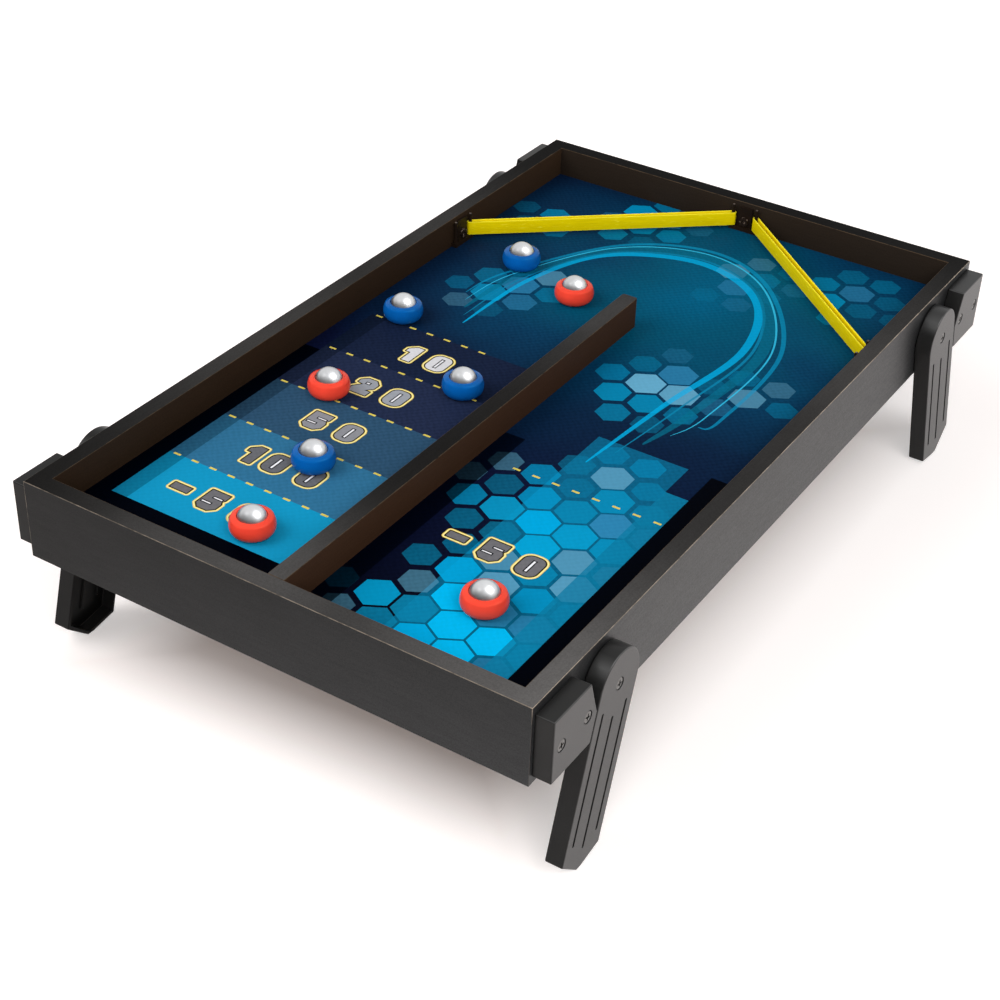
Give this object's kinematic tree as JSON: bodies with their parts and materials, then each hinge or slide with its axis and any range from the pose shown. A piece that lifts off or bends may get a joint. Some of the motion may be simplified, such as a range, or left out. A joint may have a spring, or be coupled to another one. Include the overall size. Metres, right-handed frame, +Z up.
{
  "type": "rebound puck game",
  "caption": "Shallow two-lane tray game on folding legs: ball pucks roll up one lane, rebound off two elastic bands and come back down past printed zones.",
  "frame": {"origin": "on the floor, under the middle of the tray", "axes": "+Y along the lanes to the far end, +X to the right, +Z up"},
  "size_m": [0.3722, 0.593, 0.1387],
  "materials": {
    "rail_wrap": "black wood-grain wrap, satin, worn at the edges",
    "board_wood": "bare pressed board",
    "print": "glossy printed sheet",
    "leg_plastic": "satin charcoal moulding",
    "black_screw": "black oxide",
    "plain_steel": "plain steel",
    "bracket_plastic": "black moulding",
    "band_rubber": "yellow elastic strap",
    "puck_blue": "gloss blue moulding",
    "puck_red": "gloss red moulding",
    "ball_steel": "polished steel"
  },
  "bodies": {
    "tray": {"front_rail": "rail_wrap", "back_rail": "rail_wrap", "left_rail": "rail_wrap", "right_rail": "rail_wrap", "corner_brads": "plain_steel", "board": "board_wood", "print_sheet": "print", "lane_divider": "rail_wrap", "divider_screws": "plain_steel", "stop_block_front_left": "leg_plastic", "stop_block_front_right": "leg_plastic", "stop_block_back_left": "leg_plastic", "stop_block_back_right": "leg_plastic", "leg_pivot_screws": "black_screw", "leg_washers": "plain_steel", "block_screws": "black_screw", "band_bracket_left": "bracket_plastic", "band_bracket_back": "bracket_plastic", "band_bracket_right": "bracket_plastic", "bracket_screws": "black_screw", "rebound_band_left": "band_rubber", "rebound_band_right": "band_rubber"},
    "leg_front_left": {"leg_front_left": "leg_plastic"},
    "leg_front_right": {"leg_front_right": "leg_plastic"},
    "leg_back_left": {"leg_back_left": "leg_plastic"},
    "leg_back_right": {"leg_back_right": "leg_plastic"},
    "blue_puck_1": {"blue_puck_ring_1": "puck_blue"},
    "blue_ball_1": {"blue_puck_ball_1": "ball_steel"},
    "blue_puck_2": {"blue_puck_ring_2": "puck_blue"},
    "blue_ball_2": {"blue_puck_ball_2": "ball_steel"},
    "blue_puck_3": {"blue_puck_ring_3": "puck_blue"},
    "blue_ball_3": {"blue_puck_ball_3": "ball_steel"},
    "blue_puck_4": {"blue_puck_ring_4": "puck_blue"},
    "blue_ball_4": {"blue_puck_ball_4": "ball_steel"},
    "red_puck_1": {"red_puck_ring_1": "puck_red"},
    "red_ball_1": {"red_puck_ball_1": "ball_steel"},
    "red_puck_2": {"red_puck_ring_2": "puck_red"},
    "red_ball_2": {"red_puck_ball_2": "ball_steel"},
    "red_puck_3": {"red_puck_ring_3": "puck_red"},
    "red_ball_3": {"red_puck_ball_3": "ball_steel"},
    "red_puck_4": {"red_puck_ring_4": "puck_red"},
    "red_ball_4": {"red_puck_ball_4": "ball_steel"}
  },
  "joints": [
    {"name": "fold_leg_front_left", "type": "hinge", "parent": "tray", "child": "leg_front_left", "pos_m": [-0.18035, -0.226, 0.11196], "axis": [1, 0, 0], "range_deg": [0, 106]},
    {"name": "fold_leg_front_right", "type": "hinge", "parent": "tray", "child": "leg_front_right", "pos_m": [0.18035, -0.226, 0.11196], "axis": [1, 0, 0], "range_deg": [0, 106]},
    {"name": "fold_leg_back_left", "type": "hinge", "parent": "tray", "child": "leg_back_left", "pos_m": [-0.18035, 0.226, 0.11196], "axis": [-1, 0, 0], "range_deg": [0, 106]},
    {"name": "fold_leg_back_right", "type": "hinge", "parent": "tray", "child": "leg_back_right", "pos_m": [0.18035, 0.226, 0.11196], "axis": [-1, 0, 0], "range_deg": [0, 106]},
    {"name": "slide_blue_puck_1", "type": "slide", "parent": "tray", "child": "blue_puck_1", "axis": [0, 1, 0], "range_m": [-0.0415, 0.039]},
    {"name": "roll_blue_ball_1", "type": "hinge", "parent": "blue_puck_1", "child": "blue_ball_1", "pos_m": [-0.10381, 0.13423, 0.12616], "axis": [1, 0, 0], "continuous": true},
    {"name": "slide_blue_puck_2", "type": "slide", "parent": "tray", "child": "blue_puck_2", "axis": [0, 1, 0], "range_m": [-0.04, 0.0415]},
    {"name": "roll_blue_ball_2", "type": "hinge", "parent": "blue_puck_2", "child": "blue_ball_2", "pos_m": [-0.12911, 0.02139, 0.12616], "axis": [1, 0, 0], "continuous": true},
    {"name": "slide_blue_puck_3", "type": "slide", "parent": "tray", "child": "blue_puck_3", "axis": [0, 1, 0], "range_m": [-0.0475, 0.06]},
    {"name": "roll_blue_ball_3", "type": "hinge", "parent": "blue_puck_3", "child": "blue_ball_3", "pos_m": [-0.04069, -0.03698, 0.12616], "axis": [1, 0, 0], "continuous": true},
    {"name": "slide_blue_puck_4", "type": "slide", "parent": "tray", "child": "blue_puck_4", "axis": [0, 1, 0], "range_m": [-0.023, 0.0475]},
    {"name": "roll_blue_ball_4", "type": "hinge", "parent": "blue_puck_4", "child": "blue_ball_4", "pos_m": [-0.06729, -0.1612, 0.12616], "axis": [1, 0, 0], "continuous": true},
    {"name": "slide_red_puck_1", "type": "slide", "parent": "tray", "child": "red_puck_1", "axis": [0, 1, 0], "range_m": [-0.06, 0.11]},
    {"name": "roll_red_ball_1", "type": "hinge", "parent": "red_puck_1", "child": "red_ball_1", "pos_m": [-0.0464, 0.11278, 0.12616], "axis": [1, 0, 0], "continuous": true},
    {"name": "slide_red_puck_2", "type": "slide", "parent": "tray", "child": "red_puck_2", "axis": [0, 1, 0], "range_m": [-0.182, 0.04]},
    {"name": "roll_red_ball_2", "type": "hinge", "parent": "red_puck_2", "child": "red_ball_2", "pos_m": [-0.11091, -0.08768, 0.12616], "axis": [1, 0, 0], "continuous": true},
    {"name": "slide_red_puck_3", "type": "slide", "parent": "tray", "child": "red_puck_3", "axis": [0, 1, 0], "range_m": [-0.033, 0.023]},
    {"name": "roll_red_ball_3", "type": "hinge", "parent": "red_puck_3", "child": "red_ball_3", "pos_m": [-0.05401, -0.23648, 0.12616], "axis": [1, 0, 0], "continuous": true},
    {"name": "slide_red_puck_4", "type": "slide", "parent": "tray", "child": "red_puck_4", "axis": [0, 1, 0], "range_m": [-0.051, 0.4]},
    {"name": "roll_red_ball_4", "type": "hinge", "parent": "red_puck_4", "child": "red_ball_4", "pos_m": [0.095, -0.21901, 0.12616], "axis": [1, 0, 0], "continuous": true}
  ],
  "couplings": [
    {"joint": "roll_blue_ball_1", "follows": "slide_blue_puck_1", "rad_per_m": -108.11},
    {"joint": "roll_blue_ball_2", "follows": "slide_blue_puck_2", "rad_per_m": -108.11},
    {"joint": "roll_blue_ball_3", "follows": "slide_blue_puck_3", "rad_per_m": -108.11},
    {"joint": "roll_blue_ball_4", "follows": "slide_blue_puck_4", "rad_per_m": -108.11},
    {"joint": "roll_red_ball_1", "follows": "slide_red_puck_1", "rad_per_m": -108.11},
    {"joint": "roll_red_ball_2", "follows": "slide_red_puck_2", "rad_per_m": -108.11},
    {"joint": "roll_red_ball_3", "follows": "slide_red_puck_3", "rad_per_m": -108.11},
    {"joint": "roll_red_ball_4", "follows": "slide_red_puck_4", "rad_per_m": -108.11}
  ]
}
